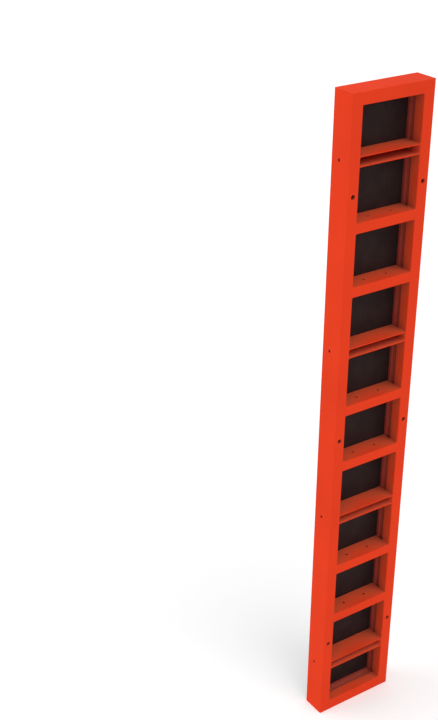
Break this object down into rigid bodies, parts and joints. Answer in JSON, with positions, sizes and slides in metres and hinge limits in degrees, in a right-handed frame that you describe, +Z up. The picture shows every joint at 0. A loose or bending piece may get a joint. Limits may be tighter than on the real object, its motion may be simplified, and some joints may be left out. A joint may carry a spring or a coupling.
{
  "type": "concrete formwork panel",
  "caption": "Tall narrow wall formwork panel: hollow grooved steel edge rails with mitred corners, box and open channel cross bars, and a film-faced plywood lining.",
  "frame": {"origin": "middle of the footprint, on the surface that the panel stands on", "axes": "+X across the width, +Y out of the concrete face, +Z up along the height"},
  "size_m": [0.45, 0.12, 3.3],
  "materials": {
    "frame_paint": "smooth orange-red powder coat, semi-gloss",
    "film_plywood": "dark brown phenolic film on birch plywood, low sheen",
    "joint_sealant": "grey elastic sealant, matt",
    "rivet_steel": "zinc-plated, flush with the lining"
  },
  "bodies": {
    "root": {"left_rail": "frame_paint", "right_rail": "frame_paint", "top_rail": "frame_paint", "bottom_rail": "frame_paint", "channel_bar_1": "frame_paint", "channel_bar_2": "frame_paint", "channel_bar_3": "frame_paint", "channel_bar_4": "frame_paint", "box_bar_1": "frame_paint", "box_bar_2": "frame_paint", "box_bar_3": "frame_paint", "box_bar_4": "frame_paint", "box_bar_5": "frame_paint", "box_bar_6": "frame_paint", "form_lining": "film_plywood", "lining_seal": "joint_sealant", "tie_sleeve_left_low": "frame_paint", "tie_sleeve_left_middle": "frame_paint", "tie_sleeve_left_high": "frame_paint", "tie_sleeve_right_low": "frame_paint", "tie_sleeve_right_middle": "frame_paint", "tie_sleeve_right_high": "frame_paint", "cross_bush_left_1": "frame_paint", "cross_bush_left_2": "frame_paint", "cross_bush_left_3": "frame_paint", "cross_bush_left_4": "frame_paint", "cross_bush_right_1": "frame_paint", "cross_bush_right_2": "frame_paint", "cross_bush_right_3": "frame_paint", "cross_bush_right_4": "frame_paint", "bar_rivets": "rivet_steel", "rail_rivets": "rivet_steel"}
  },
  "joints": []
}
